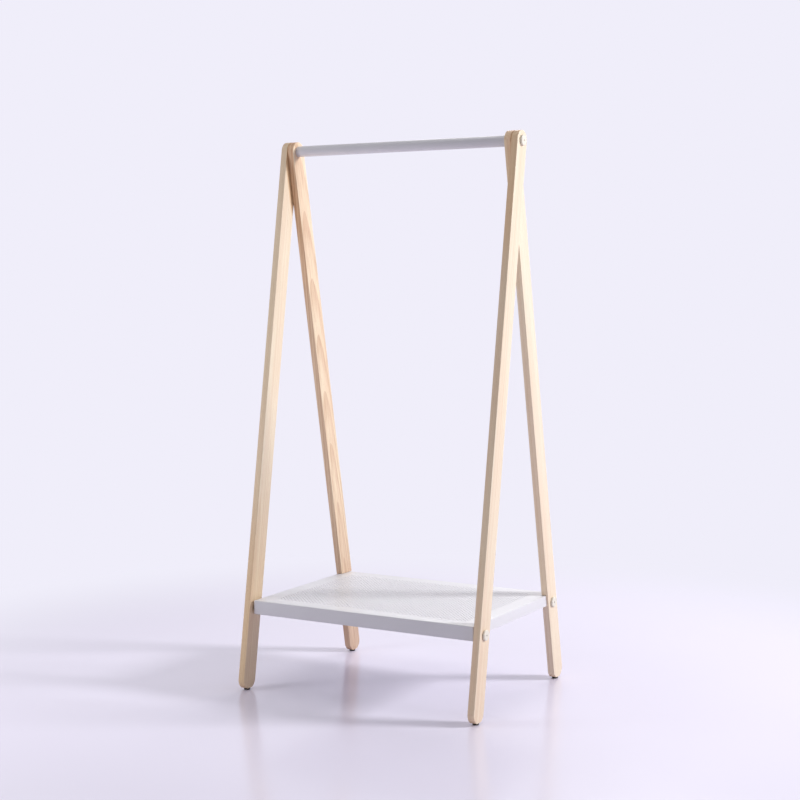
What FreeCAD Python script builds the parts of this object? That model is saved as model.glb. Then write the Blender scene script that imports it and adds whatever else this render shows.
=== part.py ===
import FreeCAD, Part
import math
import os

# Open frame wardrobe: two leaning end frames, a hanging rail and a perforated shelf.
# Millimetres and degrees, +Z up, the front faces -Y, the origin is on the floor midway between the feet.

# Legs
leg_length = 1452.0
leg_width = 50.0
leg_thickness = 18.0
leg_angle = 10.0
leg_edge_chamfer = 1.0
leg_gap = 1.0

# Hanging rail and its end plugs
rail_length = 626.0
rail_diameter = 28.0
rail_wall = 1.5
plug_length = 36.0
plug_clearance = 0.1

# Shelf, let into the rear legs and held clear of the front ones
shelf_top_height = 236.0
shelf_sheet = 1.5
shelf_bend_inner_radius = 1.5
shelf_edge_past_bolt = 15.5
side_wall_height = 28.0
front_wall_drop = 8.5
front_return_width = 12.0
notch_web = 5.0
notch_clearance = 0.5

# Perforation of the shelf top, in staggered rows, coarser than on the real sheet
hole_diameter = 18.0
hole_bridge = 18.0
hole_sides = 6
hole_margin = 25.0

# Bolts, washers, spacers and nuts
head_diameter = 27.0
head_height = 6.0
head_rim_chamfer = 2.0
socket_width = 6.0
socket_depth = 3.5
pivot_bolt_diameter = 8.0
pivot_bolt_reach = 28.0
shelf_bolt_diameter = 6.0
shelf_bolt_rise = 7.0
shelf_bolt_tail = 1.0
bolt_clearance = 0.25
thread_clearance = 0.1
washer_diameter = 24.0
spacer_diameter = 18.0
nut_width = 10.0
nut_height = 6.0

# Foot glides
pad_diameter = 16.0
pad_height = 5.0
pad_edge_chamfer = 0.8
pad_seat_margin = 1.5
pad_pin_diameter = 3.0
pad_pin_length = 16.0

# Length by which a cutting tool runs past the solid that it cuts
overrun = 1.0

# Places that follow from the sizes above
tilt = math.radians(leg_angle)
end_radius = leg_width / 2
leg_centres = leg_length - leg_width
seat_half = pad_diameter / 2 + pad_seat_margin
foot_centre_height = pad_height + math.sqrt(end_radius ** 2 - seat_half ** 2)
foot_y = leg_centres * math.sin(tilt)
pivot_height = foot_centre_height + leg_centres * math.cos(tilt)
rear_inner_x = rail_length / 2
rear_outer_x = rear_inner_x + leg_thickness
front_inner_x = rear_outer_x + leg_gap
front_outer_x = front_inner_x + leg_thickness
shelf_side_x = rear_outer_x - notch_web
shelf_wall_bottom = shelf_top_height - side_wall_height
shelf_bolt_height = shelf_wall_bottom + shelf_bolt_rise
shelf_bolt_y = (pivot_height - shelf_bolt_height) * math.tan(tilt)
shelf_half_depth = shelf_bolt_y + shelf_edge_past_bolt
hole_pitch = (hole_diameter + hole_bridge) * math.sqrt(2)

SIDES = {"left": -1, "right": 1}
ROWS = {"front": -1, "rear": 1}
X_AXIS = FreeCAD.Vector(1, 0, 0)
Y_AXIS = FreeCAD.Vector(0, 1, 0)
Z_AXIS = FreeCAD.Vector(0, 0, 1)


def at(x, y, z):
    """Point in the part's frame."""
    return FreeCAD.Vector(x, y, z)


def box(low, high):
    """Box between two opposite corners."""
    size = high - low
    return Part.makeBox(size.x, size.y, size.z, low)


def rod(radius, start, length, axis):
    """Round bar from a start point along an axis."""
    return Part.makeCylinder(radius, length, start, axis)


def prism(sides, radius, start, length, axis):
    """Regular prism from a start point along an axis, by its corner radius."""
    step = 2 * math.pi / sides
    ring = [at(radius * math.cos(i * step), radius * math.sin(i * step), 0) for i in range(sides)]
    face = Part.Face(Part.makePolygon(ring + ring[:1]))
    solid = face.extrude(Z_AXIS * length)
    solid.Placement = FreeCAD.Placement(start, FreeCAD.Rotation(Z_AXIS, axis))
    return solid


def mirrored(shape, side):
    """Shape modelled on the right, moved to the side asked for."""
    if side > 0:
        return shape
    return shape.mirror(at(0, 0, 0), X_AXIS)


# Legs

def leg_blank():
    """Board with two round ends, hanging from its top centre, its inner face at x = 0."""
    top = at(0, 0, 0)
    foot = at(0, 0, -leg_centres)
    side = Y_AXIS * end_radius
    rise = Z_AXIS * end_radius
    outline = [
        Part.Arc(top - side, top + rise, top + side).toShape(),
        Part.LineSegment(top + side, foot + side).toShape(),
        Part.Arc(foot + side, foot - rise, foot - side).toShape(),
        Part.LineSegment(foot - side, top - side).toShape(),
    ]
    board = Part.Face(Part.Wire(outline)).extrude(X_AXIS * leg_thickness)
    rims = [e for face in board.Faces if abs(face.normalAt(0, 0).x) > 0.5 for e in face.Edges]
    board = board.makeChamfer(leg_edge_chamfer, rims)
    pivot_bore = rod(
        pivot_bolt_diameter / 2 + bolt_clearance, at(-overrun, 0, 0), leg_thickness + 2 * overrun, X_AXIS
    )
    return board.cut(pivot_bore)


def foot_cut(inner_x, row):
    """Flat seat for the glide and the hole for its pin, under one foot."""
    outer_x = inner_x + leg_thickness
    y = row * foot_y
    below = box(
        at(inner_x - overrun, y - leg_width, -leg_width), at(outer_x + overrun, y + leg_width, pad_height)
    )
    pin_hole = rod(
        pad_pin_diameter / 2 + thread_clearance,
        at((inner_x + outer_x) / 2, y, 0),
        pad_height + pad_pin_length + thread_clearance,
        Z_AXIS,
    )
    return below.fuse(pin_hole)


def shelf_notch():
    """Notch in a rear leg's inner face that takes the edge of the shelf."""
    reach = shelf_bolt_y + leg_width
    low = at(rear_inner_x - overrun, 0, shelf_wall_bottom)
    high = at(shelf_side_x, reach, shelf_top_height + notch_clearance)
    return box(low, high)


def leg(row, side):
    """One leg: the front legs are the outer boards, the rear legs the inner ones."""
    inner_x = rear_inner_x if row > 0 else front_inner_x
    board = leg_blank()
    board.rotate(at(0, 0, 0), X_AXIS, row * leg_angle)
    board.translate(at(inner_x, 0, pivot_height))
    bolt_bore = rod(
        shelf_bolt_diameter / 2 + bolt_clearance,
        at(inner_x - overrun, row * shelf_bolt_y, shelf_bolt_height),
        leg_thickness + 2 * overrun,
        X_AXIS,
    )
    board = board.cut(bolt_bore).cut(foot_cut(inner_x, row))
    if row > 0:
        board = board.cut(shelf_notch())
    return mirrored(board, side)


# Hanging rail

def hanging_rail():
    """Round tube between the inner faces of the rear legs."""
    start = at(-rear_inner_x, 0, pivot_height)
    outer = rod(rail_diameter / 2, start, rail_length, X_AXIS)
    bore = rod(
        rail_diameter / 2 - rail_wall, start - X_AXIS * overrun, rail_length + 2 * overrun, X_AXIS
    )
    return outer.cut(bore)


def rail_plug(side):
    """Threaded plug, flush with the end of the rail."""
    radius = rail_diameter / 2 - rail_wall - plug_clearance
    start = at(rear_inner_x - plug_length, 0, pivot_height)
    body = rod(radius, start, plug_length, X_AXIS)
    thread = rod(
        pivot_bolt_diameter / 2 + thread_clearance,
        start - X_AXIS * overrun,
        plug_length + 2 * overrun,
        X_AXIS,
    )
    return mirrored(body.cut(thread), side)


# Fasteners

def round_head_bolt(diameter, shank_length, head_face):
    """Bolt along X with a large bevelled head, whose underside is at the point given."""
    head_radius = head_diameter / 2
    shank_radius = diameter / 2
    x, y, z = head_face.x, head_face.y, head_face.z
    end = x - shank_length
    top = x + head_height
    profile = [
        at(end, y, z),
        at(end, y, z + shank_radius),
        at(x, y, z + shank_radius),
        at(x, y, z + head_radius),
        at(top - head_rim_chamfer, y, z + head_radius),
        at(top, y, z + head_radius - head_rim_chamfer),
        at(top, y, z),
    ]
    bolt = Part.Face(Part.makePolygon(profile + profile[:1])).revolve(head_face, X_AXIS, 360)
    socket_radius = socket_width / math.sqrt(3)
    socket = prism(6, socket_radius, at(top - socket_depth, y, z), socket_depth + overrun, X_AXIS)
    return bolt.cut(socket)


def sleeve(outer_diameter, bore_diameter, start, length):
    """Plain ring along X."""
    ring = rod(outer_diameter / 2, start, length, X_AXIS)
    bore = rod(
        bore_diameter / 2 + bolt_clearance, start - X_AXIS * overrun, length + 2 * overrun, X_AXIS
    )
    return ring.cut(bore)


def pivot_bolt(side):
    """Top bolt through both legs into the rail's plug."""
    shank = front_outer_x - rear_inner_x + pivot_bolt_reach
    return mirrored(
        round_head_bolt(pivot_bolt_diameter, shank, at(front_outer_x, 0, pivot_height)), side
    )


def pivot_washer(side):
    """Thin washer that keeps the two boards of an end frame apart."""
    ring = sleeve(washer_diameter, pivot_bolt_diameter, at(rear_outer_x, 0, pivot_height), leg_gap)
    return mirrored(ring, side)


def shelf_bolt(row, side):
    """Bolt through a leg into the nut behind the shelf's side wall."""
    face_x = rear_outer_x if row > 0 else front_outer_x
    shank = face_x - shelf_side_x + shelf_sheet + nut_height + shelf_bolt_tail
    head_face = at(face_x, row * shelf_bolt_y, shelf_bolt_height)
    return mirrored(round_head_bolt(shelf_bolt_diameter, shank, head_face), side)


def shelf_nut(row, side):
    """Hexagon nut welded to the inner face of the shelf's side wall."""
    start = at(shelf_side_x - shelf_sheet - nut_height, row * shelf_bolt_y, shelf_bolt_height)
    body = prism(6, nut_width / math.sqrt(3), start, nut_height, X_AXIS)
    thread = rod(
        shelf_bolt_diameter / 2 + thread_clearance,
        start - X_AXIS * overrun,
        nut_height + 2 * overrun,
        X_AXIS,
    )
    return mirrored(body.cut(thread), side)


def shelf_spacer(side):
    """Sleeve that fills the gap between the shelf and a front leg."""
    start = at(shelf_side_x, -shelf_bolt_y, shelf_bolt_height)
    return mirrored(sleeve(spacer_diameter, shelf_bolt_diameter, start, notch_web + leg_gap), side)


# Shelf

def folded_box(low, high, radius):
    """Box with its level edges rounded, as folds, and its upright corners sharp, as seams."""
    solid = box(low, high)
    folds = [e for e in solid.Edges if e.BoundBox.ZLength < radius]
    return solid.makeFillet(radius, folds)


def folded_sheet():
    """Rounded shell, cut open below so that the front wall keeps a folded lower edge."""
    low = at(-shelf_side_x, -shelf_half_depth, shelf_wall_bottom - front_wall_drop)
    high = at(shelf_side_x, shelf_half_depth, shelf_top_height)
    sheet = at(shelf_sheet, shelf_sheet, shelf_sheet)
    outside = folded_box(low, high, shelf_bend_inner_radius + shelf_sheet)
    inside = folded_box(low + sheet, high - sheet, shelf_bend_inner_radius)
    under_walls = box(
        at(-shelf_side_x - overrun, front_return_width - shelf_half_depth, low.z - overrun),
        at(shelf_side_x + overrun, shelf_half_depth + overrun, shelf_wall_bottom),
    )
    return outside.cut(inside).cut(under_walls)


def perforation():
    """Staggered rows of holes that fill the shelf top inside its plain margin."""
    half_x = shelf_side_x - hole_margin - hole_diameter / 2
    half_y = shelf_half_depth - hole_margin - hole_diameter / 2
    row_step = hole_pitch / 2
    row_count = int(half_y // row_step)
    holes = []
    for row in range(-row_count, row_count + 1):
        shift = hole_pitch / 2 if row % 2 else 0
        hole_count = int((half_x - shift) // hole_pitch)
        first = -hole_count * hole_pitch - shift
        for i in range(2 * hole_count + 1 + row % 2):
            start = at(first + i * hole_pitch, row * row_step, shelf_top_height - shelf_sheet - overrun)
            holes.append(prism(hole_sides, hole_diameter / 2, start, shelf_sheet + 2 * overrun, Z_AXIS))
    return Part.makeCompound(holes)


def shelf_tray():
    """Perforated steel shelf with bolt holes in its side walls."""
    tray = folded_sheet()
    for row in ROWS.values():
        bore = rod(
            shelf_bolt_diameter / 2 + bolt_clearance,
            at(-shelf_side_x - overrun, row * shelf_bolt_y, shelf_bolt_height),
            2 * (shelf_side_x + overrun),
            X_AXIS,
        )
        tray = tray.cut(bore)
    return tray.cut(perforation())


# Feet

def foot_pad(row, side):
    """Round glide with a pin that is driven up into the foot."""
    inner_x = rear_inner_x if row > 0 else front_inner_x
    centre = at(inner_x + leg_thickness / 2, row * foot_y, 0)
    disc = rod(pad_diameter / 2, centre, pad_height, Z_AXIS)
    rims = [e for e in disc.Edges if abs(e.CenterOfMass.z) < pad_edge_chamfer]
    disc = disc.makeChamfer(pad_edge_chamfer, rims)
    pin = rod(pad_pin_diameter / 2, centre, pad_height + pad_pin_length, Z_AXIS)
    return mirrored(disc.fuse(pin).removeSplitter(), side)


def all_nodes():
    """Every piece of the wardrobe by its node's name."""
    nodes = {"hanging_rail": hanging_rail(), "shelf_tray": shelf_tray()}
    for side_name, side in SIDES.items():
        nodes[f"rail_plug_{side_name}"] = rail_plug(side)
        nodes[f"pivot_bolt_{side_name}"] = pivot_bolt(side)
        nodes[f"pivot_washer_{side_name}"] = pivot_washer(side)
        nodes[f"shelf_spacer_{side_name}"] = shelf_spacer(side)
        for row_name, row in ROWS.items():
            place = f"{row_name}_{side_name}"
            nodes[f"leg_{place}"] = leg(row, side)
            nodes[f"shelf_bolt_{place}"] = shelf_bolt(row, side)
            nodes[f"shelf_nut_{place}"] = shelf_nut(row, side)
            nodes[f"foot_pad_{place}"] = foot_pad(row, side)
    return nodes


os.makedirs("parts", exist_ok=True)
for name, shape in all_nodes().items():
    shape.exportStep(f"parts/{name}.step")
    print(name, len(shape.Solids), "solid", round(shape.Volume), "mm3", shape.isValid())
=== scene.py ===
"""Looks of the open frame wardrobe: leaning legs, a round rail, a perforated shelf and their fixings."""

import logging
import math
from dataclasses import dataclass
from enum import Enum
from typing import Callable, Mapping, Sequence, Union

import bmesh
import bpy
from mathutils import Matrix, Vector


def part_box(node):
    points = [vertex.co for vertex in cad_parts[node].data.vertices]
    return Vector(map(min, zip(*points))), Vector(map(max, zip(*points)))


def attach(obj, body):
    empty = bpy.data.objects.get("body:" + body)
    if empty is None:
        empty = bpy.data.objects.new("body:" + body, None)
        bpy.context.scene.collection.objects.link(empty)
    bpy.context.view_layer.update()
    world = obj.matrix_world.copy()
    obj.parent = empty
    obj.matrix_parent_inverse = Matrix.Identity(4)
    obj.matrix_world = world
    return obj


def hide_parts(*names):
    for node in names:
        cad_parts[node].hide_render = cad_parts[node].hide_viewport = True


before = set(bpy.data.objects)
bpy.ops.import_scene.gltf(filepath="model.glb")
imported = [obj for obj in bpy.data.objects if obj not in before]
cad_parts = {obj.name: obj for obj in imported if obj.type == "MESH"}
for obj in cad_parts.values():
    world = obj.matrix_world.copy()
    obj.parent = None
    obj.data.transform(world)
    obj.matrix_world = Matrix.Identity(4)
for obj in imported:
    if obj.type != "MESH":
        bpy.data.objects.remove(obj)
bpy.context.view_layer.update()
LOG = logging.getLogger("wardrobe")

BODY = "root"
NEAR = 1e-5
MERGE_DISTANCE = 1e-6
WAVE_FACTOR = 20.0  # radians that the Wave node makes of one unit of its coordinates
BORE_FACETS = 32
SHARP_ANGLE = math.radians(35.0)
CREASE_ANGLE = math.radians(45.0)
LEAN = math.radians(10.0)
X_AXIS = Vector((1.0, 0.0, 0.0))
Z_TO_X = Matrix.Rotation(math.pi / 2, 4, "Y")

Point = tuple[float, float, float]
Rgb = tuple[float, float, float]
Span = tuple[float, float]
Settings = Mapping[str, object]


class Side(Enum):
    """End of the wardrobe, with its direction along X."""

    LEFT = -1
    RIGHT = 1


class Row(Enum):
    """Front or rear legs, with their direction along Y."""

    FRONT = -1
    REAR = 1


class Slot(Enum):
    """Material slots of the part's record."""

    BEECH = "beech"
    COAT = "coated_steel"
    ZINC = "zinc"
    NYLON = "nylon"
    RUBBER = "rubber"


def place_name(row: Row, side: Side) -> str:
    """Words for one of the four corners, as the nodes' names spell it."""
    return f"{row.name.lower()}_{side.name.lower()}"


# Shader building


class Wire:
    """An output of a node, which takes part in Python arithmetic."""

    def __init__(self, net: "Net", made: bpy.types.Node, output: Union[int, str]) -> None:
        """Keeps a node and one of its outputs.

        Args:
            net: the net that the node belongs to.
            made: the node.
            output: name or number of the output.
        """
        self.net = net
        self.made = made
        self.output = output

    @property
    def socket(self) -> bpy.types.NodeSocket:
        """The output's socket."""
        return self.made.outputs[self.output]

    def _math(self, operation: str, left: "Value", right: "Value") -> "Wire":
        """Adds one Math node and returns its result."""
        return self.net.node("ShaderNodeMath", {"operation": operation}, {0: left, 1: right})

    def __add__(self, other: "Value") -> "Wire":
        """Sum."""
        return self._math("ADD", self, other)

    def __radd__(self, other: "Value") -> "Wire":
        """Sum, with the plain number first."""
        return self._math("ADD", other, self)

    def __sub__(self, other: "Value") -> "Wire":
        """Difference."""
        return self._math("SUBTRACT", self, other)

    def __rsub__(self, other: "Value") -> "Wire":
        """Difference, with the plain number first."""
        return self._math("SUBTRACT", other, self)

    def __mul__(self, other: "Value") -> "Wire":
        """Product."""
        return self._math("MULTIPLY", self, other)

    def __rmul__(self, other: "Value") -> "Wire":
        """Product, with the plain number first."""
        return self._math("MULTIPLY", other, self)

    def __abs__(self) -> "Wire":
        """Size without its sign."""
        return self._math("ABSOLUTE", self, 0.0)

    def step(self, low: float, high: float) -> "Wire":
        """Smooth step from 0 at low to 1 at high.

        Args:
            low: value at which the step starts.
            high: value at which the step ends.

        Returns:
            The stepped value.
        """
        settings = {"interpolation_type": "SMOOTHSTEP", "clamp": True}
        return self.net.node("ShaderNodeMapRange", settings, {0: self, 1: low, 2: high, 3: 0.0, 4: 1.0})


Value = Union[Wire, float, int, Sequence[float]]


class Net:
    """Node tree of one material or of the world."""

    def __init__(self, tree: bpy.types.NodeTree) -> None:
        """Takes over a node tree and empties it.

        Args:
            tree: tree of a material or of the world.
        """
        self.tree = tree
        self.tree.nodes.clear()

    def node(self, kind: str, settings: Settings, sockets: Mapping[Union[int, str], Value],
             output: Union[int, str] = 0) -> Wire:
        """Adds a node.

        Args:
            kind: type name of the node.
            settings: properties that are set before the sockets.
            sockets: values or wires by the socket's name or number.
            output: the socket that is handed back.

        Returns:
            The chosen output as a wire.
        """
        made = self.tree.nodes.new(kind)
        for name, value in settings.items():
            setattr(made, name, value)
        for key, value in sockets.items():
            socket = made.inputs[key]
            if isinstance(value, Wire):
                self.tree.links.new(value.socket, socket)
            else:
                socket.default_value = (*value, 1.0) if socket.type == "RGBA" else value
        return Wire(self, made, output)

    def mix(self, factor: Value, first: Value, second: Value, blend: str = "MIX") -> Wire:
        """Mixes two colours.

        Args:
            factor: share of the second colour.
            first: colour at a factor of 0.
            second: colour at a factor of 1.
            blend: blend type of the Mix node.

        Returns:
            The mixed colour.
        """
        settings = {"data_type": "RGBA", "blend_type": blend}
        return self.node("ShaderNodeMix", settings, {0: factor, 6: first, 7: second}, output=2)

    def scaled(self, vector: Wire, scale: Sequence[float]) -> Wire:
        """Coordinates stretched along each axis."""
        return self.node("ShaderNodeVectorMath", {"operation": "MULTIPLY"}, {0: vector, 1: scale})

    def object_point(self) -> Wire:
        """Place on the piece, in the part's frame."""
        return self.node("ShaderNodeTexCoord", {}, {}, output="Object")

    def attribute(self, name: str) -> Wire:
        """Vector that the points of the piece carry under a name."""
        return self.node("ShaderNodeAttribute", {"attribute_name": name}, {}, output="Vector")

    def axes(self, vector: Wire, names: str = "XYZ") -> list[Wire]:
        """Chosen axes of a vector, each as a value."""
        split = self.node("ShaderNodeSeparateXYZ", {}, {0: vector})
        return [Wire(self, split.made, name) for name in names]

    def bump(self, height: Wire, strength: float, distance: float) -> Wire:
        """Normal tilted by a height field.

        Args:
            height: field between 0 and 1.
            strength: share of the effect.
            distance: height of the field's 1, in metres.

        Returns:
            The normal.
        """
        sockets = {"Height": height, "Strength": strength, "Distance": distance}
        return self.node("ShaderNodeBump", {}, sockets)

    def surface(self, sockets: Mapping[str, Value]) -> None:
        """Ends the tree in a principled surface.

        Args:
            sockets: values or wires of the surface's sockets.
        """
        shader = self.node("ShaderNodeBsdfPrincipled", {}, sockets)
        self.node("ShaderNodeOutputMaterial", {}, {"Surface": shader})


def new_net(name: str) -> tuple[bpy.types.Material, Net]:
    """Makes a material with an empty node tree.

    Args:
        name: the material's name.

    Returns:
        The material and its net.
    """
    material = bpy.data.materials.new(name)
    material.use_nodes = True
    return material, Net(material.node_tree)


# Finishes


@dataclass(frozen=True)
class Mottle:
    """Noise of one size, which may be drawn out along an axis, and the span of its values that shows."""

    cells_per_metre: float
    octaves: float
    span: Span = (0.0, 1.0)
    roughness: float = 0.5
    stretch: Point = (1.0, 1.0, 1.0)

    def noise(self, net: Net, point: Wire) -> Wire:
        """Lays the noise over a piece.

        Args:
            net: the material's net.
            point: coordinates in metres.

        Returns:
            The noise, between 0 and 1.
        """
        return net.node("ShaderNodeTexNoise", {"noise_dimensions": "3D"}, {
            "Vector": net.scaled(point, self.stretch),
            "Scale": self.cells_per_metre,
            "Detail": self.octaves,
            "Roughness": self.roughness,
        })

    def mask(self, net: Net, point: Wire) -> Wire:
        """The noise, sharpened to its span."""
        return self.noise(net, point).step(*self.span)


@dataclass(frozen=True)
class BoardWood:
    """Pale beech with a clear matt lacquer, whose grain runs along each board.

    A tint multiplies the wood's colour; the side, foot and head tints and the board shadow are painted light
    and shade. A span holds the two ends of a soft change. Spans in metres are
    measured along the board from the centre of its round top, and across it from its middle.
    """

    name: str
    row: Row
    pale: Rgb = (0.851, 0.752, 0.590)
    tan: Rgb = (0.718, 0.552, 0.389)
    blush: Rgb = (0.830, 0.680, 0.525)
    fleck: Rgb = (0.48, 0.31, 0.19)
    end_tint: Rgb = (0.80, 0.72, 0.64)
    # painted shade: narrow sides darker and warmer, as faces turned from the key lamp look; lighter where
    # above 1 (painted light)
    side_lighting_tint: Rgb = (1.0, 0.957, 0.885)
    # painted shade: the lower leg darker and warmer towards the foot, where the shelf's shadow falls
    foot_shade_tint: Rgb = (1.0, 0.975, 0.955)
    # painted shade: narrow sides near the round top, where the boards cross, darker and browner; lighter
    # where above 1 (painted light)
    head_lighting_tint: Rgb = (1.0, 0.89, 0.77)
    # painted shadow: darker and browner where the end frame's other board crosses and shades this one
    board_shadow_tint: Rgb = (0.84, 0.69, 0.52)
    end_steepness: Span = (0.45, 0.85)
    side_steepness: Span = (0.35, 0.75)
    foot_shade_span: Span = (0.75, 1.30)
    head_lighting_span: Span = (-0.42, -0.12)
    board_shadow_span: Span = (-0.20, -0.12)
    board_shadow_reach: Span = (0.032, 0.042)
    board_shadow_skin: Span = (0.0070, 0.0086)
    edge_across: Span = (0.0068, 0.0086)
    edge_sideways: Span = (0.0222, 0.0246)
    ring_spacing: float = 0.0042
    ring_stretch: Point = (1.0, 1.0, 0.035)
    ring_span: Span = (0.25, 1.0)
    broad: Mottle = Mottle(26.0, 3.0, (0.34, 0.70), stretch=(1.0, 1.0, 0.09))
    streaks: Mottle = Mottle(260.0, 3.0, (0.40, 0.70), 0.6, (1.0, 1.0, 0.012))
    fibres: Mottle = Mottle(1500.0, 2.0, (0.45, 0.80), 0.65, (1.0, 1.0, 0.02))
    flecks: Mottle = Mottle(900.0, 1.0, (0.66, 0.74), stretch=(1.0, 1.0, 0.16))
    figure: float = 1.2
    late_wood_share: float = 0.34
    fibre_share: float = 0.18
    fleck_share: float = 0.24
    end_share: float = 0.8
    # worn edges lightened towards the pale wood, which is partly a painted highlight
    edge_wear_and_highlight: float = 0.22
    roughness: float = 0.46
    relief_height: float = 0.00025

    def material(self) -> bpy.types.Material:
        """Builds the material.

        Returns:
            Wood that reads the point attributes board and grain.
        """
        material, net = new_net(self.name)
        grain = net.attribute("grain")
        rings = self.rings(net, grain)
        fibres = self.fibres.noise(net, grain)
        flecks = self.flecks.mask(net, grain)
        tone = net.mix(self.broad.mask(net, grain), self.pale, self.blush)
        late_wood = (rings.step(*self.ring_span) + self.streaks.mask(net, grain)) * self.late_wood_share
        tone = net.mix(late_wood * self.figure, tone, self.tan)
        pores = fibres.step(*self.fibres.span) * self.fibre_share + flecks * self.fleck_share
        tone = net.mix(pores * self.figure, tone, self.fleck)
        relief = fibres * 0.5 + rings * 0.25 - flecks * 0.35
        net.surface({
            "Base Color": self.tinted(net, tone),
            "Roughness": self.roughness + fibres * 0.10 - rings * 0.04,
            "Coat Weight": 0.12,
            "Coat Roughness": 0.38,
            "Normal": net.bump(relief, 0.35, self.relief_height),
        })
        return material

    def rings(self, net: Net, grain: Wire) -> Wire:
        """Growth rings of the log.

        Args:
            net: the material's net.
            grain: place in the log.

        Returns:
            A value that rises from 0 to 1 across each ring.
        """
        return net.node(
            "ShaderNodeTexWave",
            {"wave_type": "RINGS", "rings_direction": "Z", "wave_profile": "SAW"},
            {"Vector": net.scaled(grain, self.ring_stretch),
             "Scale": math.tau / WAVE_FACTOR / self.ring_spacing,
             "Distortion": 5.0, "Detail": 2.5, "Detail Scale": 0.35, "Detail Roughness": 0.55},
            output="Fac",
        )

    def tinted(self, net: Net, tone: Wire) -> Wire:
        """Tints the wood at its end grain and worn edges, and paints light and shade onto it.

        Args:
            net: the material's net.
            tone: colour of the wood's figure.

        Returns:
            The colour with end grain, worn edges with a painted highlight, and painted light and shade on the
            narrow sides, at the foot and head, and where the other board casts its shadow.
        """
        normal = net.node("ShaderNodeTexCoord", {}, {}, output="Normal")
        outwards, upwards = net.axes(normal, "XZ")
        across, sideways, along = net.axes(net.attribute("board"))
        end_grain = abs(upwards).step(*self.end_steepness)
        narrow_side = 1.0 - abs(outwards).step(*self.side_steepness)
        edge = abs(across).step(*self.edge_across) * abs(sideways).step(*self.edge_sideways)
        # painted shade towards the foot, below the shelf
        foot = (0.0 - along).step(*self.foot_shade_span)
        # painted light and shade on the narrow sides near the head
        head = along.step(*self.head_lighting_span) * narrow_side
        tone = net.mix(end_grain * self.end_share, tone, self.end_tint, blend="MULTIPLY")
        # painted shade on the narrow sides, and painted light where the tint is above 1
        tone = net.mix(narrow_side, tone, self.side_lighting_tint, blend="MULTIPLY")
        # worn edges with a painted highlight
        tone = net.mix(edge * self.edge_wear_and_highlight, tone, self.pale)
        tone = net.mix(foot, tone, self.foot_shade_tint, blend="MULTIPLY")
        tone = net.mix(head, tone, self.head_lighting_tint, blend="MULTIPLY")
        # painted shadow of the crossing board
        return net.mix(self.board_shadow(across, sideways, along), tone, self.board_shadow_tint, blend="MULTIPLY")

    def board_shadow(self, across: Wire, sideways: Wire, along: Wire) -> Wire:
        """Mask of the painted shadow that the end frame's other board casts where it lies on this one.

        Args:
            across: place across the board's thickness.
            sideways: place across its width.
            along: place along its length.

        Returns:
            1 on the covered face, where the shadow is painted, and 0 elsewhere.
        """
        crossing = 2 * LEAN
        # the painted shadow lies on the face towards the other board, within its reach
        facing = (across * self.row.value).step(*self.board_shadow_skin)
        reach = abs(sideways * math.cos(crossing) - along * (self.row.value * math.sin(crossing)))
        return facing * (1.0 - reach.step(*self.board_shadow_reach)) * along.step(*self.board_shadow_span)


@dataclass(frozen=True)
class PowderCoat:
    """Light grey powder coat on steel, satin, with a faint orange peel."""

    name: str = "coat_light_grey"
    base: Rgb = (0.686, 0.677, 0.708)
    shade: Rgb = (0.614, 0.604, 0.635)
    roughness: float = 0.36
    cloud: Mottle = Mottle(9.0, 3.0, (0.35, 0.75))
    cloud_share: float = 0.22
    speckle: Mottle = Mottle(3200.0, 1.0, (0.55, 0.75))
    speckle_share: float = 0.16
    peel: Mottle = Mottle(950.0, 2.0)
    peel_height: float = 0.00015

    def material(self) -> bpy.types.Material:
        """Builds the material.

        Returns:
            Coat that reads Object coordinates.
        """
        material, net = new_net(self.name)
        point = net.object_point()
        cloud = self.cloud.noise(net, point)
        speckle = self.speckle.noise(net, point)
        peel = self.peel.noise(net, point)
        clouded = cloud.step(*self.cloud.span) * self.cloud_share
        speckled = speckle.step(*self.speckle.span) * self.speckle_share
        net.surface({
            "Base Color": net.mix(clouded + speckled, self.base, self.shade),
            "Roughness": self.roughness + peel * 0.12 + cloud * 0.05,
            "Coat Weight": 0.20,
            "Coat Roughness": 0.25,
            "Normal": net.bump(peel * 0.7 + speckle * 0.3, 0.18, self.peel_height),
        })
        return material


@dataclass(frozen=True)
class ZincPlate:
    """Bright zinc plating with a slight bloom."""

    base: Rgb = (0.60, 0.60, 0.62)
    bloom: Rgb = (0.46, 0.46, 0.47)
    roughness: float = 0.28
    cloud: Mottle = Mottle(140.0, 4.0, (0.35, 0.7))
    brush: Mottle = Mottle(2600.0, 2.0, stretch=(0.05, 1.0, 1.0))
    brush_height: float = 0.0001

    def material(self) -> bpy.types.Material:
        """Builds the material.

        Returns:
            Metal that reads Object coordinates.
        """
        material, net = new_net("zinc_plated")
        point = net.object_point()
        cloud = self.cloud.noise(net, point)
        brush = self.brush.noise(net, point)
        net.surface({
            "Base Color": net.mix(cloud.step(*self.cloud.span), self.base, self.bloom),
            "Metallic": 1.0,
            "Roughness": self.roughness + cloud * 0.18 + brush * 0.08,
            "Normal": net.bump(brush, 0.15, self.brush_height),
        })
        return material


@dataclass(frozen=True)
class Moulded:
    """Dark moulded plastic or rubber, matt, with a fine spark-eroded grain."""

    name: str
    base: Rgb
    scuff: Rgb
    roughness: float
    scuffs: Mottle = Mottle(210.0, 5.0, (0.5, 0.75), 0.7)
    scuff_share: float = 0.6
    grit: Mottle = Mottle(2400.0, 2.0)
    grit_height: float = 0.00012

    def material(self) -> bpy.types.Material:
        """Builds the material.

        Returns:
            Moulding that reads Object coordinates.
        """
        material, net = new_net(self.name)
        point = net.object_point()
        grit = self.grit.noise(net, point)
        scuffed = self.scuffs.mask(net, point) * self.scuff_share
        net.surface({
            "Base Color": net.mix(scuffed, self.base, self.scuff),
            "Roughness": self.roughness + grit * 0.12,
            "Normal": net.bump(grit, 0.3, self.grit_height),
        })
        return material


# Mesh building


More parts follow.
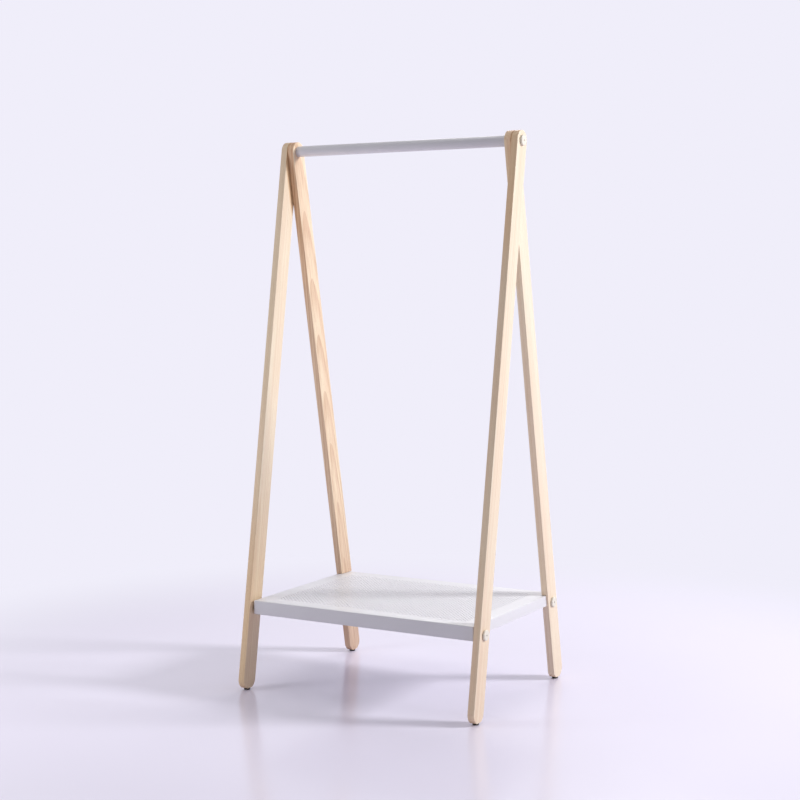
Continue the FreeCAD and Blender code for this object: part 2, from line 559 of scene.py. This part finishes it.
class Blank:
    """A mesh in work, shaped by operators until it is one piece of the wardrobe."""

    def __init__(self) -> None:
        """Starts with an empty mesh."""
        self.mesh = bmesh.new()

    def lathe(self, profile: Sequence[tuple[float, float]], steps: int = 48, closed: bool = False) -> None:
        """Turns a profile about the X axis.

        Args:
            profile: (place along X, radius) points in metres.
            steps: facets round the axis.
            closed: whether the last point joins the first one.
        """
        points = [self.mesh.verts.new((along, 0.0, radius)) for along, radius in profile]
        others = points[1:] + points[:1] if closed else points[1:]
        edges = [self.mesh.edges.new(pair) for pair in zip(points, others)]
        bmesh.ops.spin(self.mesh, geom=points + edges, cent=(0, 0, 0), axis=X_AXIS, angle=math.tau,
                       steps=steps, use_merge=True)
        self.heal()

    def heal(self) -> None:
        """Merges doubles and turns all faces outwards."""
        bmesh.ops.remove_doubles(self.mesh, verts=self.mesh.verts[:], dist=MERGE_DISTANCE)
        bmesh.ops.recalc_face_normals(self.mesh, faces=self.mesh.faces[:])

    def edges_where(self, test: Callable[[Vector], bool]) -> list[bmesh.types.BMEdge]:
        """Edges whose two ends pass a test of their place."""
        return [edge for edge in self.mesh.edges if all(test(vert.co) for vert in edge.verts)]

    def ring(self, along: float, radius: float) -> list[bmesh.types.BMEdge]:
        """Finds the edges of a turned mesh at one point of its profile.

        Args:
            along: the point's place along X.
            radius: its radius.

        Returns:
            The edges of the circle there.
        """
        return self.edges_where(
            lambda co: abs(co.x - along) < NEAR and abs(math.hypot(co.y, co.z) - radius) < NEAR
        )

    def round_edges(self, edges: Sequence[bmesh.types.BMEdge], radius: float, segments: int = 3) -> None:
        """Rounds edges.

        Args:
            edges: edges to round.
            radius: radius in metres.
            segments: facets across the rounding.
        """
        bmesh.ops.bevel(self.mesh, geom=list(edges), offset=radius, offset_type="OFFSET", affect="EDGES",
                        segments=segments, profile=0.5, material=-1, clamp_overlap=True)

    def rod(self, centre: Sequence[float], radius: float, length: float, upright: bool = False) -> None:
        """Adds a closed rod.

        Args:
            centre: middle of the rod.
            radius: radius in metres.
            length: length in metres.
            upright: whether it stands along Z, and not along X.
        """
        turn = Matrix() if upright else Z_TO_X
        bmesh.ops.create_cone(self.mesh, cap_ends=True, segments=BORE_FACETS, radius1=radius, radius2=radius,
                              depth=length, matrix=Matrix.Translation(centre) @ turn)

    def place(self, matrix: Matrix) -> None:
        """Moves the whole mesh and turns its faces outwards again if it was mirrored."""
        bmesh.ops.transform(self.mesh, matrix=matrix, verts=self.mesh.verts[:])
        bmesh.ops.recalc_face_normals(self.mesh, faces=self.mesh.faces[:])

    def piece(self, name: str) -> bpy.types.Object:
        """Ends the work.

        Args:
            name: the new object's name.

        Returns:
            The mesh as an object at the origin.
        """
        data = bpy.data.meshes.new(name)
        self.mesh.to_mesh(data)
        self.mesh.free()
        made = bpy.data.objects.new(name, data)
        bpy.context.scene.collection.objects.link(made)
        shade(made)
        return made


def verts_of(made: Mapping[str, Sequence[object]]) -> list[bmesh.types.BMVert]:
    """Vertices among what an operator made."""
    return [item for item in made["geom"] if isinstance(item, bmesh.types.BMVert)]


def edges_of(items: Sequence[Union[bmesh.types.BMVert, bmesh.types.BMFace]]) -> list[bmesh.types.BMEdge]:
    """Edges at some vertices or round some faces, each of them once."""
    found = (item.edges if isinstance(item, bmesh.types.BMFace) else item.link_edges for item in items)
    return list(dict.fromkeys(edge for edges in found for edge in edges))


def shade(piece: bpy.types.Object) -> None:
    """Shades a piece smooth, with its sharp edges kept."""
    piece.data.polygons.foreach_set("use_smooth", [True] * len(piece.data.polygons))
    piece.data.set_sharp_from_angle(angle=SHARP_ANGLE)


def settle(piece: bpy.types.Object) -> None:
    """Turns modifiers into mesh.

    Args:
        piece: the piece, which keeps no modifier.
    """
    graph = bpy.context.evaluated_depsgraph_get()
    piece.data = bpy.data.meshes.new_from_object(piece.evaluated_get(graph))
    piece.modifiers.clear()
    shade(piece)


def cut(piece: bpy.types.Object, tool: bpy.types.Object) -> None:
    """Takes one solid away from another.

    Args:
        piece: the solid that stays.
        tool: the solid that is cut away, which is then removed.
    """
    modifier = piece.modifiers.new("cut", "BOOLEAN")
    modifier.operation = "DIFFERENCE"
    modifier.solver = "EXACT"
    modifier.object = tool
    settle(piece)
    bpy.data.objects.remove(tool)


def dress(piece: bpy.types.Object, material: bpy.types.Material, slot: Slot, *nodes: str) -> None:
    """Gives a new piece its finish and its place in the part.

    Args:
        piece: the new piece.
        material: its finish.
        slot: the record's slot of that finish; not used.
        nodes: nodes of the frame that it stands for.
    """
    piece.data.materials.clear()
    piece.data.materials.append(material)
    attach(piece, BODY)
    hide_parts(*nodes)
    LOG.info("%s: %d faces, for %s", piece.name, len(piece.data.polygons), ", ".join(nodes))


def repaint(node: str, material: bpy.types.Material) -> None:
    """Gives a node of the frame a finish and leaves its shape.

    Args:
        node: the node's name.
        material: its finish.
    """
    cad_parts[node].data.materials.clear()
    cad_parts[node].data.materials.append(material)
    LOG.info("%s: repainted", node)


def middle(node: str) -> Vector:
    """Middle of a node's box."""
    low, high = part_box(node)
    return (low + high) / 2


# Sub-assemblies


@dataclass(frozen=True)
class LogPlace:
    """Where in the log a board was sawn, which gives each board its own grain."""

    shift: Point
    slope: float

    def in_log(self, point: Vector) -> Vector:
        """Place in the log of a place on the board, whose rings run out at a slope."""
        return point + Vector(self.shift) + Vector((self.slope * point.z, 0.0, 0.0))


@dataclass
class Leg:
    """One leaning board with round ends; the rear ones are notched for the shelf."""

    row: Row
    side: Side
    wood: bpy.types.Material
    cut_from: LogPlace
    width: float = 0.050
    tilt: float = LEAN
    edge_radius: float = 0.0020
    arc_steps: int = 28
    notch_headroom: float = 0.0005
    bolt_rise: float = 0.007
    pivot_bore: float = 0.00425
    bolt_bore: float = 0.00325
    pin_bore: float = 0.0016
    pin_clearance: float = 0.0001
    overrun: float = 0.002

    def __post_init__(self) -> None:
        """Takes the board's place from the frame."""
        self.place = place_name(self.row, self.side)
        low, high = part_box(f"leg_{self.place}")
        self.thickness = high.x - low.x
        self.inner_x = low.x if self.side is Side.RIGHT else high.x
        self.pivot = middle(f"pivot_washer_{self.side.name.lower()}")
        pad_low, pad_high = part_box(f"foot_pad_{self.place}")
        self.pad = (pad_low + pad_high) / 2
        self.pin_top = pad_high.z
        self.centres = abs(self.pad.y) / math.sin(self.tilt)
        self.seat_height = low.z

    def placement(self) -> Matrix:
        """Lean and place of the board.

        Returns:
            The move from the bench, where the board hangs from its top centre, to the end frame.
        """
        lean = Matrix.Rotation(self.row.value * self.tilt, 4, "X")
        outwards = Matrix.Diagonal((self.side.value, 1.0, 1.0, 1.0))
        return Matrix.Translation((self.inner_x, 0.0, self.pivot.z)) @ outwards @ lean

    def build(self) -> bpy.types.Object:
        """Models the board.

        Returns:
            The leg in its place, with bores, seat and notch.
        """
        blank = Blank()
        mesh = blank.mesh
        radius = self.width / 2
        start = mesh.verts.new((0.0, radius, 0.0))
        bmesh.ops.spin(mesh, geom=[start], cent=(0, 0, 0), axis=X_AXIS, angle=math.pi, steps=self.arc_steps)
        arc = mesh.verts[:] + mesh.edges[:]
        foot = verts_of(bmesh.ops.duplicate(mesh, geom=arc))
        bmesh.ops.scale(mesh, vec=(1.0, 1.0, -1.0), verts=foot)
        bmesh.ops.translate(mesh, vec=(0.0, 0.0, -self.centres), verts=foot)
        bmesh.ops.bridge_loops(mesh, edges=mesh.edges[:])
        outer = verts_of(bmesh.ops.extrude_face_region(mesh, geom=mesh.faces[:]))
        bmesh.ops.translate(mesh, vec=(self.thickness, 0.0, 0.0), verts=outer)
        blank.heal()
        blank.round_edges([e for e in mesh.edges if e.calc_face_angle(0.0) > CREASE_ANGLE], self.edge_radius)
        blank.place(self.placement())
        self.flatten_foot(blank)
        leg = blank.piece(f"{self.place}_leg")
        if self.row is Row.REAR:
            cut(leg, self.notch_tool())
        cut(leg, self.bore_tool())
        self.mark_grain(leg)
        return leg

    def flatten_foot(self, blank: Blank) -> None:
        """Cuts the seat for the glide under the round foot.

        Args:
            blank: the board in its place.
        """
        mesh = blank.mesh
        everything = mesh.verts[:] + mesh.edges[:] + mesh.faces[:]
        bmesh.ops.bisect_plane(mesh, geom=everything, plane_co=(0.0, 0.0, self.seat_height),
                               plane_no=(0.0, 0.0, -1.0), clear_outer=True)
        bmesh.ops.holes_fill(mesh, edges=[e for e in mesh.edges if e.is_boundary])
        blank.heal()

    def notch_tool(self) -> bpy.types.Object:
        """Models the room that the shelf's wall takes.

        Returns:
            Block that cuts the notch into the board's inner face.
        """
        low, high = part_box("shelf_tray")
        shelf_edge = high.x if self.side is Side.RIGHT else low.x
        bolt = middle(f"shelf_nut_{self.place}")
        floor = bolt.z - self.bolt_rise
        start = self.inner_x - self.side.value * self.overrun
        size = Vector((abs(shelf_edge - start), self.width * 2, high.z + self.notch_headroom - floor))
        centre = Vector(((shelf_edge + start) / 2, bolt.y, floor + size.z / 2))
        blank = Blank()
        bmesh.ops.create_cube(blank.mesh, size=1.0,
                              matrix=Matrix.Translation(centre) @ Matrix.Diagonal((*size, 1.0)))
        return blank.piece("notch_tool")

    def bore_tool(self) -> bpy.types.Object:
        """Models the room that the fixings take.

        Returns:
            Rods that bore the holes for the pivot, the shelf bolt and the glide's pin.
        """
        blank = Blank()
        length = self.thickness + 2 * self.overrun
        bolt = middle(f"shelf_nut_{self.place}")
        middle_x = self.inner_x + self.side.value * self.thickness / 2
        blank.rod((middle_x, 0.0, self.pivot.z), self.pivot_bore, length)
        blank.rod((middle_x, bolt.y, bolt.z), self.bolt_bore, length)
        pin_low = self.seat_height - self.overrun
        pin_high = self.pin_top + self.pin_clearance
        pin_middle = (self.pad.x, self.pad.y, (pin_low + pin_high) / 2)
        blank.rod(pin_middle, self.pin_bore, pin_high - pin_low, upright=True)
        return blank.piece("bore_tool")

    def mark_grain(self, leg: bpy.types.Object) -> None:
        """Writes the coordinates that the wood follows onto the points.

        Args:
            leg: the finished board.
        """
        bench = self.placement().inverted()
        centre = Vector((self.thickness / 2, 0.0, 0.0))
        board = [bench @ vert.co - centre for vert in leg.data.vertices]
        for name, points in (("board", board), ("grain", [self.cut_from.in_log(point) for point in board])):
            attribute = leg.data.attributes.new(name, "FLOAT_VECTOR", "POINT")
            attribute.data.foreach_set("vector", [value for point in points for value in point])

    def dress(self) -> None:
        """Builds the leg and puts it in place of its node."""
        dress(self.build(), self.wood, Slot.BEECH, f"leg_{self.place}")


@dataclass
class HangingRail:
    """Round steel tube between the rear legs."""

    coat: bpy.types.Material
    wall: float = 0.0015
    rim_radius: float = 0.0005
    facets: int = 72

    def build(self) -> bpy.types.Object:
        """Models the tube.

        Returns:
            The rail in its place.
        """
        low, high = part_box("hanging_rail")
        outer = (high.z - low.z) / 2
        inner = outer - self.wall
        blank = Blank()
        profile = [(low.x, inner), (low.x, outer), (high.x, outer), (high.x, inner)]
        blank.lathe(profile, self.facets, closed=True)
        for end in (low.x, high.x):
            blank.round_edges(blank.ring(end, outer), self.rim_radius, segments=2)
        blank.place(Matrix.Translation((0.0, 0.0, (low.z + high.z) / 2)))
        return blank.piece("rail_tube")

    def dress(self) -> None:
        """Builds the rail and puts it in place of its node."""
        dress(self.build(), self.coat, Slot.COAT, "hanging_rail")


@dataclass
class ShelfTray:
    """Folded steel shelf with a fine staggered perforation inside a plain margin."""

    coat: bpy.types.Material
    columns: int = 101
    rows: int = 65
    cell: float = 0.0056
    hole_radius: float = 0.0021
    inset: float = 0.0010
    sheet: float = 0.0015
    fold_radius: float = 0.0020
    fold_segments: int = 4
    lip_width: float = 0.012
    lip_drop: float = 0.0085
    bolt_bore: float = 0.00325
    overrun: float = 0.002

    def __post_init__(self) -> None:
        """Takes the tray's box from the frame."""
        self.low, self.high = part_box("shelf_tray")
        self.panel = Vector((self.columns * self.cell, self.rows * self.cell))

    def build(self) -> bpy.types.Object:
        """Models the shelf.

        Returns:
            The perforated tray in its place, with its sheet's thickness.
        """
        blank = Blank()
        mesh = blank.mesh
        lift = Matrix.Translation((0.0, 0.0, self.high.z))
        bmesh.ops.create_grid(mesh, x_segments=self.columns, y_segments=self.rows, size=0.5,
                              matrix=lift @ Matrix.Diagonal((self.panel.x, self.panel.y, 1.0, 1.0)))
        cells = mesh.faces[:]
        self.fold_walls(blank)
        self.fill_margin(mesh)
        self.punch(mesh, cells)
        bmesh.ops.recalc_face_normals(mesh, faces=mesh.faces[:])
        tray = blank.piece("perforated_shelf")
        wall = tray.modifiers.new("sheet", "SOLIDIFY")
        wall.thickness = self.sheet
        wall.offset = -1.0
        wall.use_even_offset = True
        settle(tray)
        cut(tray, self.bolt_tool())
        return tray

    def fold_walls(self, blank: Blank) -> None:
        """Adds the folded walls, which are deeper along the front, and leaves the top open.

        Args:
            blank: the tray, which holds its panel so far.
        """
        mesh = blank.mesh
        size = self.high - self.low
        centre = (self.high + self.low) / 2
        matrix = Matrix.Translation(centre) @ Matrix.Diagonal((*size, 1.0))
        corners = bmesh.ops.create_cube(mesh, size=1.0, matrix=matrix)["verts"]
        blank.round_edges(edges_of(corners), self.fold_radius, self.fold_segments)
        lid = max((f for f in mesh.faces if f.calc_center_median().z > self.high.z - NEAR),
                  key=lambda face: face.calc_area())
        bmesh.ops.delete(mesh, geom=[lid], context="FACES_ONLY")
        wall_bottom = self.low.z + self.lip_drop
        lip_back = self.low.y + self.lip_width
        for point, normal in (((0, 0, wall_bottom), (0, 0, 1)), ((0, lip_back, 0), (0, 1, 0))):
            walls = [f for f in mesh.faces if f.calc_center_median().z < self.high.z - NEAR]
            geom = list(dict.fromkeys(part for f in walls for part in (f, *f.edges, *f.verts)))
            bmesh.ops.bisect_plane(mesh, geom=geom, dist=MERGE_DISTANCE, plane_co=point, plane_no=normal)
        below = [f for f in mesh.faces
                 if f.calc_center_median().z < wall_bottom and f.calc_center_median().y > lip_back]
        bmesh.ops.delete(mesh, geom=below, context="FACES")

    def fill_margin(self, mesh: bmesh.types.BMesh) -> None:
        """Fills the plain margin between the folds and the grid of cells.

        Args:
            mesh: the tray's mesh.
        """
        top = self.high.z - NEAR
        rims = [e for e in mesh.edges if e.is_boundary and all(v.co.z > top for v in e.verts)]
        bmesh.ops.triangle_fill(mesh, use_beauty=True, edges=rims, normal=(0.0, 0.0, 1.0))

    def punch(self, mesh: bmesh.types.BMesh, cells: Sequence[bmesh.types.BMFace]) -> None:
        """Punches a round hole into every other cell.

        Args:
            mesh: the tray's mesh.
            cells: square cells of the panel.
        """
        holed = [cell for cell in cells if self.is_holed(cell.calc_center_median())]
        bmesh.ops.inset_individual(mesh, faces=holed, thickness=self.inset, use_even_offset=True)
        bmesh.ops.bisect_edges(mesh, edges=edges_of(holed), cuts=1)
        for cell in holed:
            centre = cell.calc_center_median()
            for vert in cell.verts:
                vert.co = centre + (vert.co - centre).normalized() * self.hole_radius
        bmesh.ops.delete(mesh, geom=holed, context="FACES_ONLY")

    def is_holed(self, centre: Vector) -> bool:
        """Lays the holes out as on a chessboard.

        Args:
            centre: middle of a cell.

        Returns:
            Whether the cell has a hole.
        """
        column = round((centre.x + self.panel.x / 2) / self.cell - 0.5)
        row = round((centre.y + self.panel.y / 2) / self.cell - 0.5)
        return (column + row) % 2 == 0

    def bolt_tool(self) -> bpy.types.Object:
        """Models the room that the shelf bolts take.

        Returns:
            Rods that bore the holes through the side walls.
        """
        blank = Blank()
        length = 2 * (self.sheet + self.overrun)
        for side in Side:
            wall = self.high.x if side is Side.RIGHT else self.low.x
            for row in Row:
                bolt = middle(f"shelf_nut_{place_name(row, side)}")
                blank.rod((wall, bolt.y, bolt.z), self.bolt_bore, length)
        return blank.piece("bolt_tool")

    def dress(self) -> None:
        """Builds the shelf and puts it in place of its node."""
        dress(self.build(), self.coat, Slot.COAT, "shelf_tray")


@dataclass
class Fixing:
    """Turned or hexagonal fixing along X, on one side of the wardrobe."""

    node: str
    name: str
    side: Side
    material: bpy.types.Material
    slot: Slot

    def __post_init__(self) -> None:
        """Takes the fixing's size and place from the frame."""
        low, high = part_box(self.node)
        self.centre = (low + high) / 2
        self.outer_x = high.x if self.side is Side.RIGHT else low.x
        self.length = high.x - low.x
        self.radius = (high.z - low.z) / 2

    def blank(self) -> Blank:
        """Models the fixing along +X, with its reference face at the origin."""
        raise NotImplementedError

    def face_x(self) -> float:
        """Place along X of the reference face, which is the outer end."""
        return self.outer_x

    def dress(self) -> None:
        """Builds the fixing and puts it in place of its node."""
        turn = Matrix.Rotation(0.0 if self.side is Side.RIGHT else math.pi, 4, "Z")
        blank = self.blank()
        blank.place(Matrix.Translation((self.face_x(), self.centre.y, self.centre.z)) @ turn)
        dress(blank.piece(self.name), self.material, self.slot, self.node)


@dataclass
class RoundHeadBolt(Fixing):
    """Bolt with a large flat round head and a hexagon socket."""

    shank_radius: float = 0.003
    head_height: float = 0.006
    rim_radius: float = 0.0024
    under_radius: float = 0.0018
    socket_radius: float = 0.0025
    socket_rim: float = 0.0038
    socket_depth: float = 0.0022

    facets: int = 56

    def face_x(self) -> float:
        """Underside of the head, which sits on the leg."""
        return self.outer_x - self.side.value * self.head_height

    def blank(self) -> Blank:
        """Turns the shank and the head, and sinks the socket.

        Returns:
            The bolt, with its head towards +X.
        """
        tail = self.head_height - self.length
        blank = Blank()
        blank.lathe([
            (tail, 0.0), (tail, self.shank_radius), (0.0, self.shank_radius), (0.0, self.radius),
            (self.head_height, self.radius), (self.head_height, self.socket_rim),
        ], self.facets)
        blank.round_edges(blank.ring(self.head_height, self.radius), self.rim_radius, segments=5)
        blank.round_edges(blank.ring(0.0, self.radius), self.under_radius)
        self.sink_socket(blank)
        return blank

    def sink_socket(self, blank: Blank) -> None:
        """Closes the head's open face round a hexagon socket.

        Args:
            blank: the turned bolt.
        """
        mesh = blank.mesh
        matrix = Matrix.Translation((self.head_height, 0.0, 0.0)) @ Z_TO_X
        corners = bmesh.ops.create_circle(mesh, cap_ends=False, radius=self.socket_radius, segments=6,
                                          matrix=matrix)["verts"]
        mouth = edges_of(corners)
        bmesh.ops.bridge_loops(mesh, edges=blank.ring(self.head_height, self.socket_rim) + mouth)
        floor = verts_of(bmesh.ops.extrude_edge_only(mesh, edges=mouth))
        bmesh.ops.translate(mesh, vec=(-self.socket_depth, 0.0, 0.0), verts=floor)
        bmesh.ops.edgeloop_fill(mesh, edges=[e for e in mesh.edges if e.is_boundary])
        blank.heal()


@dataclass
class Sleeve(Fixing):
    """Spacer sleeve with eased rims, whose outer end is against the front leg."""

    bore_radius: float = 0.00325
    rim_radius: float = 0.0005
    facets: int = 40

    def blank(self) -> Blank:
        """Turns the sleeve.

        Returns:
            The sleeve, from its outer end inwards.
        """
        end, bore = -self.length, self.bore_radius
        blank = Blank()
        profile = [(end, bore), (end, self.radius), (0.0, self.radius), (0.0, bore)]
        blank.lathe(profile, self.facets, closed=True)
        for rim in (end, 0.0):
            blank.round_edges(blank.ring(rim, self.radius), self.rim_radius, segments=2)
        return blank


@dataclass
class HexNut(Fixing):
    """Hexagon weld nut, whose outer face is against the shelf's side wall."""

    across_flats: float = 0.010
    bore_radius: float = 0.0031
    rim_radius: float = 0.0004
    bore_facets: int = 30
    corner_angle: float = math.radians(30.0)

    def blank(self) -> Blank:
        """Extrudes the hexagon round its bore.

        Returns:
            The nut, from its outer face inwards.
        """
        blank = Blank()
        mesh = blank.mesh
        for radius, facets in ((self.across_flats / math.sqrt(3), 6), (self.bore_radius, self.bore_facets)):
            bmesh.ops.create_circle(mesh, cap_ends=False, radius=radius, segments=facets, matrix=Z_TO_X)
        bmesh.ops.bridge_loops(mesh, edges=mesh.edges[:])
        inner = verts_of(bmesh.ops.extrude_face_region(mesh, geom=mesh.faces[:]))
        bmesh.ops.translate(mesh, vec=(-self.length, 0.0, 0.0), verts=inner)
        blank.heal()
        limit = (self.across_flats / 2 + self.bore_radius) / 2
        corners = [e for e in blank.edges_where(lambda co: math.hypot(co.y, co.z) > limit)
                   if e.calc_face_angle(0.0) > self.corner_angle]
        blank.round_edges(corners, self.rim_radius, segments=2)
        return blank


@dataclass
class FootGlide:
    """Black round glide on a pin, under one foot."""

    place: str
    rubber: bpy.types.Material
    height: float = 0.005
    edge_radius: float = 0.0011
    pin_radius: float = 0.0015
    facets: int = 40

    def build(self) -> bpy.types.Object:
        """Models the glide.

        Returns:
            The glide in its place.
        """
        low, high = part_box(f"foot_pad_{self.place}")
        radius = (high.x - low.x) / 2
        top = high.z - low.z
        blank = Blank()
        blank.lathe([(0.0, 0.0), (0.0, radius), (self.height, radius), (self.height, self.pin_radius),
                     (top, self.pin_radius), (top, 0.0)], self.facets)
        blank.round_edges(blank.ring(0.0, radius), self.edge_radius, segments=4)
        centre = (low + high) / 2
        blank.place(Matrix.Translation((centre.x, centre.y, low.z)) @ Z_TO_X.inverted())
        return blank.piece(f"{self.place}_glide")

    def dress(self) -> None:
        """Builds the glide and puts it in place of its node."""
        dress(self.build(), self.rubber, Slot.RUBBER, f"foot_pad_{self.place}")


# Studio


@dataclass(frozen=True)
class SoftBox:
    """Round soft box that points at the middle of the wardrobe."""

    name: str
    place: Point
    width: float
    power: float
    mirrored: bool = True
    target: Point = (0.0, 0.0, 0.6)

    def hang(self) -> None:
        """Adds the lamp."""
        data = bpy.data.lights.new(self.name, "AREA")
        data.shape = "DISK"
        data.size = self.width
        data.energy = self.power
        lamp = bpy.data.objects.new(self.name, data)
        lamp.visible_glossy = self.mirrored
        back = Vector(self.place) - Vector(self.target)
        turn = back.to_track_quat("Z", "Y").to_matrix().to_4x4()
        lamp.matrix_world = Matrix.Translation(self.place) @ turn
        bpy.context.scene.collection.objects.link(lamp)


@dataclass(frozen=True)
class Studio:
    """Pale floor, plain background, soft lamps and the camera."""

    eye: Point = (2.14227, -3.60494, 1.12692)
    yaw: float = 0.53758
    pitch: float = 0.10943
    roll: float = -0.01123
    focal_px: float = 1615.02
    principal_x_px: float = 400.5
    principal_y_px: float = 434.65
    frame_px: float = 800.0
    sensor_width: float = 36.0
    background: Rgb = (0.871, 0.855, 0.956)
    ambient: Rgb = (0.97, 0.96, 1.0)
    ambient_strength: float = 0.28
    floor_colour: Rgb = (0.76, 0.72, 0.85)
    floor_size: float = 30.0
    floor_roughness: float = 0.15
    floor_unevenness: float = 0.06
    floor_mottle: Mottle = Mottle(3.0, 2.0)
    floor_shine: float = 0.42
    fade_start: float = 0.95
    fade_end: float = 1.9
    lamps: tuple[SoftBox, ...] = (
        SoftBox("key_box", (4.20, 1.825, 2.85), 1.15, 223.0, mirrored=False),
        SoftBox("fill_box", (-1.3, -1.2, 1.0), 0.8, 7.8, mirrored=False),
        SoftBox("top_box", (0.0, 0.2, 4.4), 2.6, 32.0),
        SoftBox("back_box", (-0.4, 2.6, 2.6), 2.4, 37.0),
    )

    def build(self) -> None:
        """Sets up the stage."""
        self.add_camera()
        self.add_world()
        self.add_floor()
        for lamp in self.lamps:
            lamp.hang()
        bpy.context.scene.view_settings.view_transform = "Standard"

    def add_camera(self) -> None:
        """Places the camera at the photograph's viewpoint."""
        data = bpy.data.cameras.new("camera")
        data.sensor_width = self.sensor_width
        data.lens = self.sensor_width * self.focal_px / self.frame_px
        data.shift_x = (self.frame_px / 2 - self.principal_x_px) / self.frame_px
        data.shift_y = (self.principal_y_px - self.frame_px / 2) / self.frame_px
        camera = bpy.data.objects.new("camera", data)
        turns = ((self.yaw, "Z"), (math.pi / 2 - self.pitch, "X"), (self.roll, "Z"))
        yaw, pitch, roll = (Matrix.Rotation(angle, 4, axis) for angle, axis in turns)
        camera.matrix_world = Matrix.Translation(self.eye) @ yaw @ pitch @ roll
        bpy.context.scene.collection.objects.link(camera)
        bpy.context.scene.camera = camera

    def seen(self, net: Net) -> Wire:
        """Tells rays that show the background itself from rays that light the object.

        Args:
            net: net of the world or of the floor.

        Returns:
            1 for the rays that show it, and 0 for the others.
        """
        names = ("Is Camera Ray", "Is Glossy Ray", "Is Transmission Ray")
        straight, mirrored, through = (net.node("ShaderNodeLightPath", {}, {}, output=name) for name in names)
        return (straight + mirrored + through).step(0.0, 1.0)

    def add_world(self) -> None:
        """Lights the object evenly and shows a plain pale background."""
        world = bpy.data.worlds.new("studio")
        world.use_nodes = True
        bpy.context.scene.world = world
        net = Net(world.node_tree)
        light, shown = (
            net.node("ShaderNodeBackground", {}, {"Color": colour, "Strength": strength})
            for colour, strength in ((self.ambient, self.ambient_strength), (self.background, 1.0))
        )
        both = net.node("ShaderNodeMixShader", {}, {0: self.seen(net), 1: light, 2: shown})
        net.node("ShaderNodeOutputWorld", {}, {"Surface": both})

    def add_floor(self) -> None:
        """Lays a pale glossy floor that fades into the background."""
        blank = Blank()
        bmesh.ops.create_grid(blank.mesh, x_segments=1, y_segments=1, size=self.floor_size / 2)
        floor = blank.piece("floor")
        material, net = new_net("floor_pale")
        point = net.object_point()
        distance = net.node("ShaderNodeVectorMath", {"operation": "LENGTH"}, {0: point}, output="Value")
        far = distance.step(self.fade_start, self.fade_end) * self.seen(net)
        near = net.node("ShaderNodeBsdfPrincipled", {}, {
            "Base Color": self.floor_colour,
            "Roughness": self.floor_roughness + self.floor_mottle.noise(net, point) * self.floor_unevenness,
            "Specular IOR Level": self.floor_shine,
        })
        sky = net.node("ShaderNodeEmission", {}, {"Color": self.background, "Strength": 1.0})
        both = net.node("ShaderNodeMixShader", {}, {0: far, 1: near, 2: sky})
        net.node("ShaderNodeOutputMaterial", {}, {"Surface": both})
        floor.data.materials.append(material)


# The wardrobe


BOLT_COAT = PowderCoat("coat_warm_grey", base=(0.755, 0.712, 0.622), shade=(0.64, 0.598, 0.508))
DARK_NYLON = Moulded("nylon_dark", base=(0.075, 0.066, 0.062), scuff=(0.12, 0.11, 0.10), roughness=0.5)
BLACK_RUBBER = Moulded("rubber_black", base=(0.022, 0.021, 0.021), scuff=(0.06, 0.058, 0.056), roughness=0.72)
PIVOT_SHANK_RADIUS = 0.004
# The boards' side, head and foot tints are painted light and shade: darker and browner in shaded places,
# lighter on the front left head and the rear right sides.
BOARDS = {
    (Row.FRONT, Side.LEFT): (
        BoardWood("beech_front_left", Row.FRONT, foot_shade_tint=(1.0, 0.91, 0.80), head_lighting_tint=(1.03, 1.05, 1.05)),
        LogPlace((0.050, 0.018, 0.0), 0.004),
    ),
    (Row.REAR, Side.LEFT): (
        BoardWood("beech_rear_left", Row.REAR, pale=(0.861, 0.725, 0.536), tan=(0.610, 0.393, 0.253),
                  blush=(0.830, 0.652, 0.473), side_lighting_tint=(0.95, 0.87, 0.825), foot_shade_tint=(0.76, 0.69, 0.68),
                  head_lighting_tint=(1.04, 0.97, 0.89), foot_shade_span=(0.95, 1.36), ring_spacing=0.0085, figure=1.5),
        LogPlace((0.075, 0.006, 5.3), 0.05),
    ),
    (Row.FRONT, Side.RIGHT): (
        BoardWood("beech_front_right", Row.FRONT, pale=(0.830, 0.739, 0.587), blush=(0.815, 0.673, 0.525)),
        LogPlace((-0.072, 0.031, 11.9), 0.006),
    ),
    (Row.REAR, Side.RIGHT): (
        BoardWood("beech_rear_right", Row.REAR, pale=(0.851, 0.768, 0.619), tan=(0.718, 0.566, 0.411),
                  blush=(0.830, 0.696, 0.551), side_lighting_tint=(1.05, 1.01, 0.97)),
        LogPlace((0.021, 0.083, 17.4), -0.003),
    ),
}


def main() -> None:
    """Builds and dresses every piece, and sets up the stage."""
    logging.basicConfig(level=logging.INFO, format="%(name)s: %(message)s")
    coat = PowderCoat().material()
    bolt_coat = BOLT_COAT.material()
    zinc = ZincPlate().material()
    nylon = DARK_NYLON.material()
    rubber = BLACK_RUBBER.material()
    HangingRail(coat).dress()
    ShelfTray(coat).dress()
    for side in Side:
        end = side.name.lower()
        RoundHeadBolt(f"pivot_bolt_{end}", f"{end}_pivot_bolt", side, bolt_coat, Slot.COAT,
                      shank_radius=PIVOT_SHANK_RADIUS).dress()
        Sleeve(f"shelf_spacer_{end}", f"{end}_shelf_spacer", side, nylon, Slot.NYLON).dress()
        repaint(f"rail_plug_{end}", zinc)
        repaint(f"pivot_washer_{end}", nylon)
        for row in Row:
            place = place_name(row, side)
            wood, cut_from = BOARDS[row, side]
            Leg(row, side, wood.material(), cut_from).dress()
            RoundHeadBolt(f"shelf_bolt_{place}", f"{place}_shelf_bolt", side, bolt_coat, Slot.COAT).dress()
            HexNut(f"shelf_nut_{place}", f"{place}_shelf_nut", side, zinc, Slot.ZINC).dress()
            FootGlide(place, rubber).dress()
    Studio().build()


if __name__ == "__main__":
    main()
